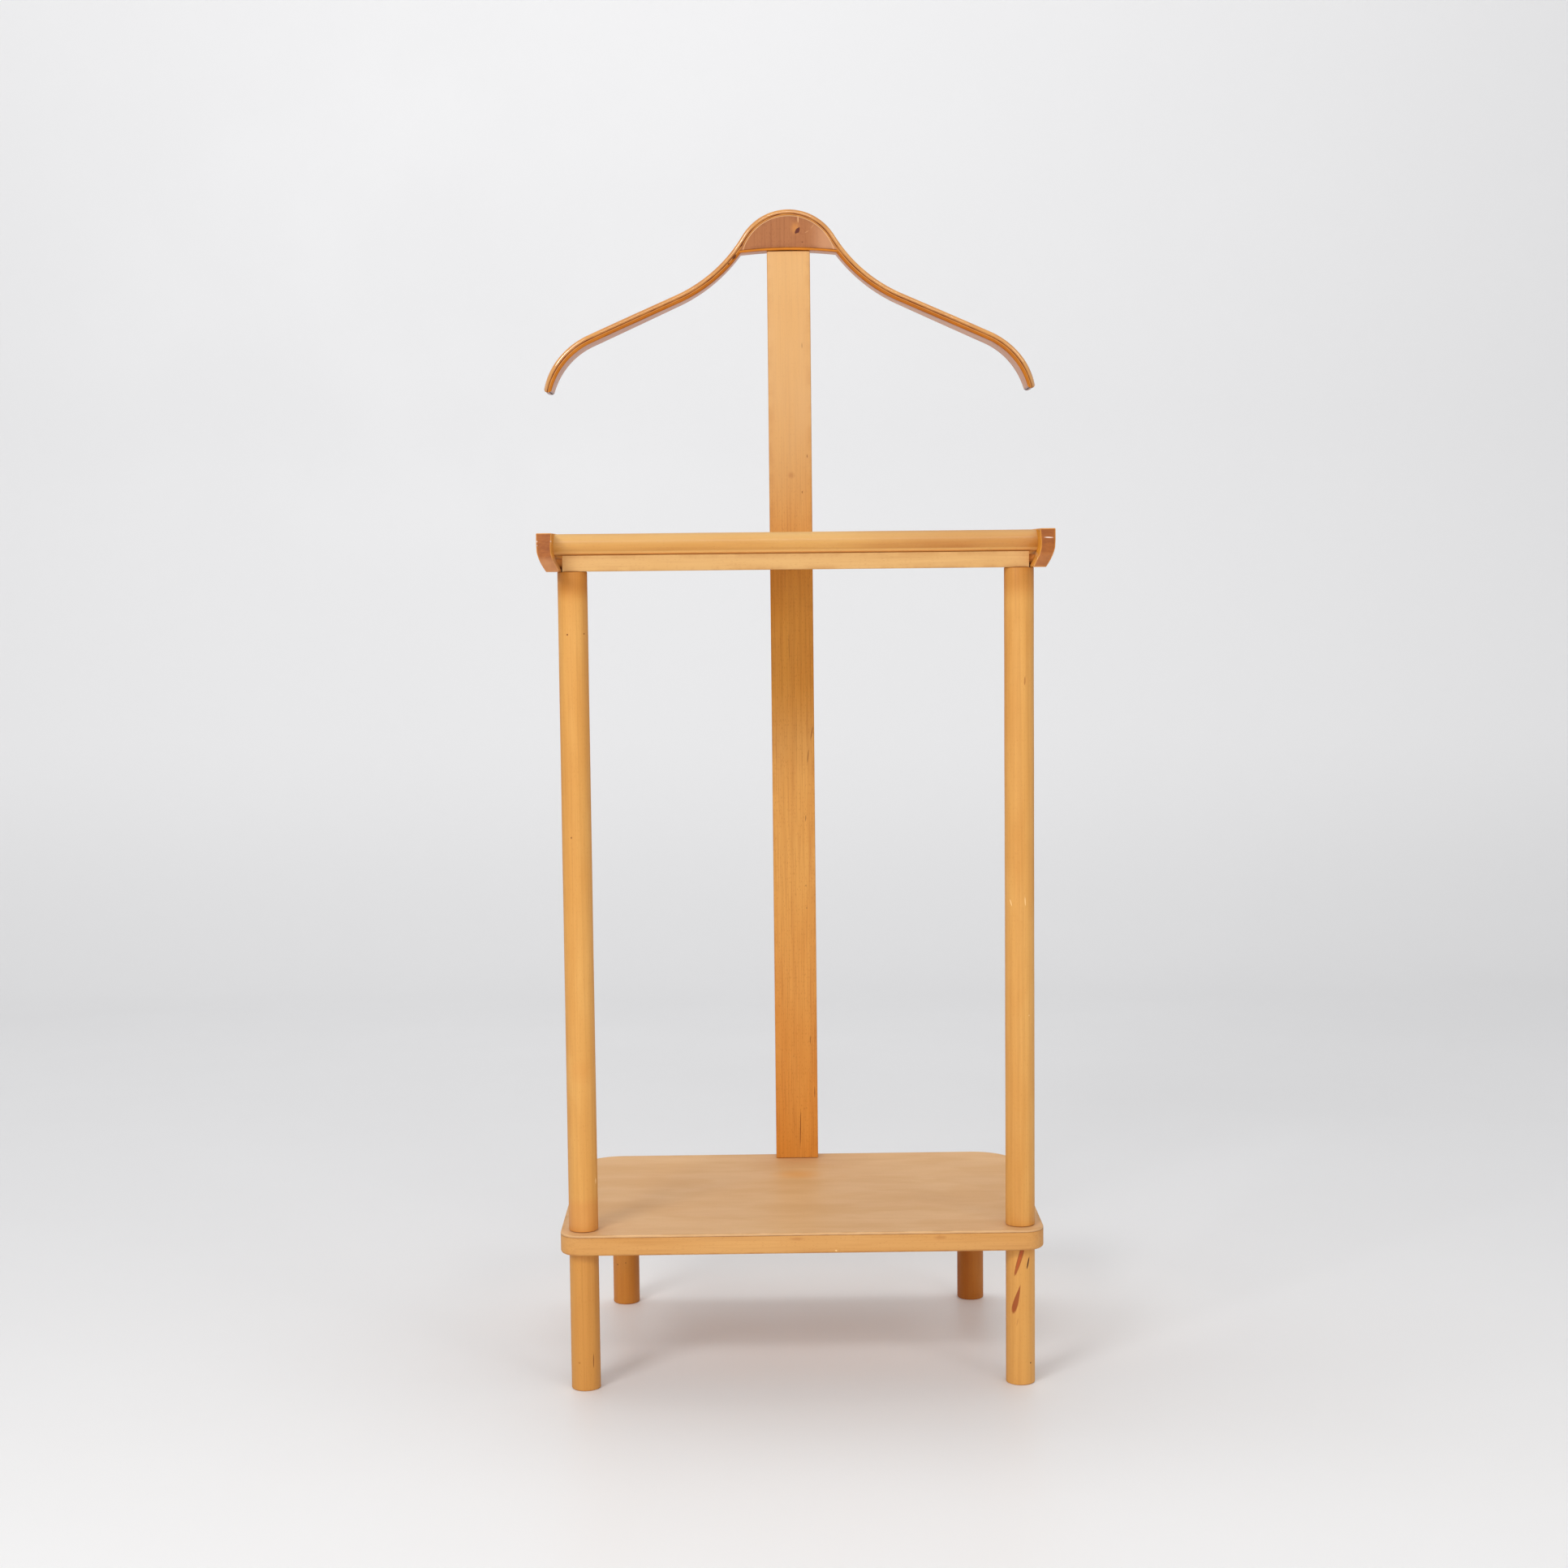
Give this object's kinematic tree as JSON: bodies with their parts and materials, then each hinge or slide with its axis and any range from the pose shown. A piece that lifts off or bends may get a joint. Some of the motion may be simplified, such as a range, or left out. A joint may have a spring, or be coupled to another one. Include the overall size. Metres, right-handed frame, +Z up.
{
  "type": "valet stand",
  "caption": "Wooden valet stand: shoe shelf on short round legs, round front posts, flat back upright, shallow tray with a trouser bar and a laminated coat hanger on top.",
  "frame": {"origin": "on the floor under the four legs, at the middle of the stand's plan", "axes": "+Z up along the height, +X from the left-hand to the right-hand leg as seen from the front, -Y out of the front where the posts and the trouser bar stand"},
  "size_m": [0.4604, 0.3154, 1.036],
  "materials": {
    "honey": "satin clear lacquer on round and flat beech with a warm honey tone",
    "light": "satin clear lacquer on pale straight-grained beech",
    "sheet": "satin clear lacquer on flat-cut beech veneer",
    "reddish": "glossy clear lacquer on reddish-brown beech with its end grain showing",
    "amber": "glossy clear lacquer on bent beech strips with an amber tone",
    "plain": "bare beech and particle core, hidden inside the stand",
    "steel": "bright zinc-plated steel"
  },
  "bodies": {
    "root": {"shelf_front_edging": "light", "shelf_back_edging": "light", "shelf_left_edging": "light", "shelf_right_edging": "light", "shelf_core_panel": "plain", "shelf_top_sheet": "sheet", "front_leg_left": "honey", "back_leg_left": "honey", "front_post_left": "honey", "front_leg_bolt_left": "steel", "back_leg_bolt_left": "steel", "back_leg_insert_left": "steel", "front_leg_right": "honey", "back_leg_right": "honey", "front_post_right": "honey", "front_leg_bolt_right": "steel", "back_leg_bolt_right": "steel", "back_leg_insert_right": "steel", "back_upright": "honey", "upright_foot_pin_left": "plain", "upright_foot_pin_right": "plain", "upright_foot_screw": "steel", "upright_tray_screw_lower": "steel", "upright_tray_screw_upper": "steel", "tray_arm_left": "reddish", "tray_arm_right": "reddish", "tray_front_rail": "light", "tray_back_rail": "light", "tray_bottom_panel": "sheet", "trouser_bar": "honey", "front_rail_pin_left": "plain", "back_rail_pin_left": "plain", "post_top_pin_left": "plain", "front_rail_pin_right": "plain", "back_rail_pin_right": "plain", "post_top_pin_right": "plain", "hanger_upper_lamella": "amber", "hanger_inner_lamella": "light", "hanger_core_block": "reddish", "hanger_bottom_rim": "amber", "hanger_lower_lamella_left": "amber", "hanger_lower_lamella_right": "amber", "hanger_pin_left": "plain", "hanger_pin_right": "plain"}
  },
  "joints": []
}
